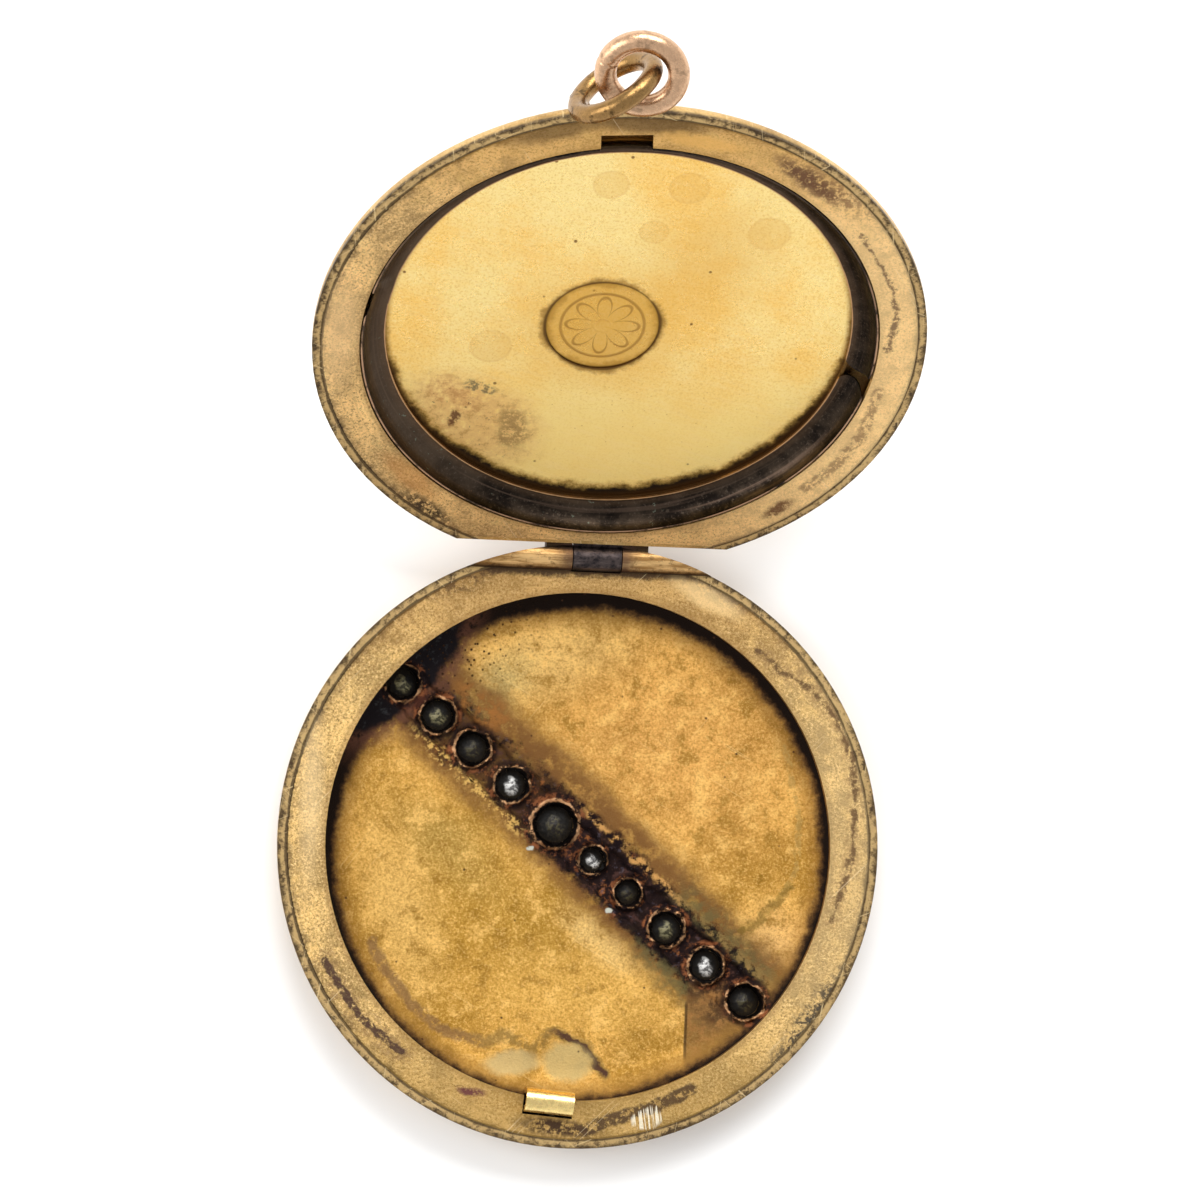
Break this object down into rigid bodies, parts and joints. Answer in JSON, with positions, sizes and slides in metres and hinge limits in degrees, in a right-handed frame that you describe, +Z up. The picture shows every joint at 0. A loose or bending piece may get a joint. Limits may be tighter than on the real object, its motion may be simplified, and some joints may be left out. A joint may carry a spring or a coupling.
{
  "type": "locket",
  "caption": "Round opening locket, open on its hinge, with a diagonal row of set stones, an inner plate, a split picture frame, a spring catch, and a jump ring on a fixed loop.",
  "frame": {"origin": "middle of the open locket's outline, on the surface that its front cover lies on", "axes": "+Y from the catch towards the hinge and on to the open back cover, +Z up out of the front cover's inside, +X to the right along the hinge"},
  "size_m": [0.03, 0.0538, 0.0263],
  "materials": {
    "case_gold": "worn satin gold, tarnished brown",
    "rim_gold": "satin gold, mottled brown and dark along the seams",
    "plate_gold": "bright yellow gold, faint water stains",
    "polished_gold": "polished gold",
    "frame_brown": "satin, oxidised nearly black brown",
    "dark_metal": "oxidised dark grey",
    "loop_metal": "worn pale brass",
    "rose_gold": "satin rose gold",
    "paste": "cut paste, greyed with age"
  },
  "bodies": {
    "front_cover": {"front_shell": "case_gold", "front_rim": "rim_gold", "front_knuckle_left": "rim_gold", "front_knuckle_right": "rim_gold", "hinge_pin": "dark_metal", "paste_stone_01": "paste", "paste_stone_02": "paste", "paste_stone_03": "paste", "paste_stone_04": "paste", "paste_stone_05": "paste", "paste_stone_06": "paste", "paste_stone_07": "paste", "paste_stone_08": "paste", "paste_stone_09": "paste", "paste_stone_10": "paste"},
    "catch": {"catch_tongue": "polished_gold"},
    "back_cover": {"back_shell": "case_gold", "back_rim": "rim_gold", "back_plate": "plate_gold", "frame_bail_half": "frame_brown", "frame_hinge_half": "frame_brown", "middle_knuckle": "dark_metal", "bail_loop": "loop_metal"},
    "jump_ring": {"jump_ring": "rose_gold"}
  },
  "joints": [
    {"name": "cover_hinge", "type": "hinge", "parent": "front_cover", "child": "back_cover", "pos_m": [0, 0.00247, 0.00233], "axis": [1, 0, 0], "range_deg": [0, 135]},
    {"name": "catch_flex", "type": "hinge", "parent": "front_cover", "child": "catch", "pos_m": [-0.00097, -0.02415, 0.00157], "axis": [-0.9969, 0.0785, 0], "range_deg": [0, 3], "stiffness_Nm_per_rad": 0.005},
    {"name": "jump_ring_swing", "type": "hinge", "parent": "back_cover", "child": "jump_ring", "pos_m": [-0.00026, 0.02505, 0.02482], "axis": [0.9969, 0.0555, 0.0555], "range_deg": [-30, 30]}
  ]
}
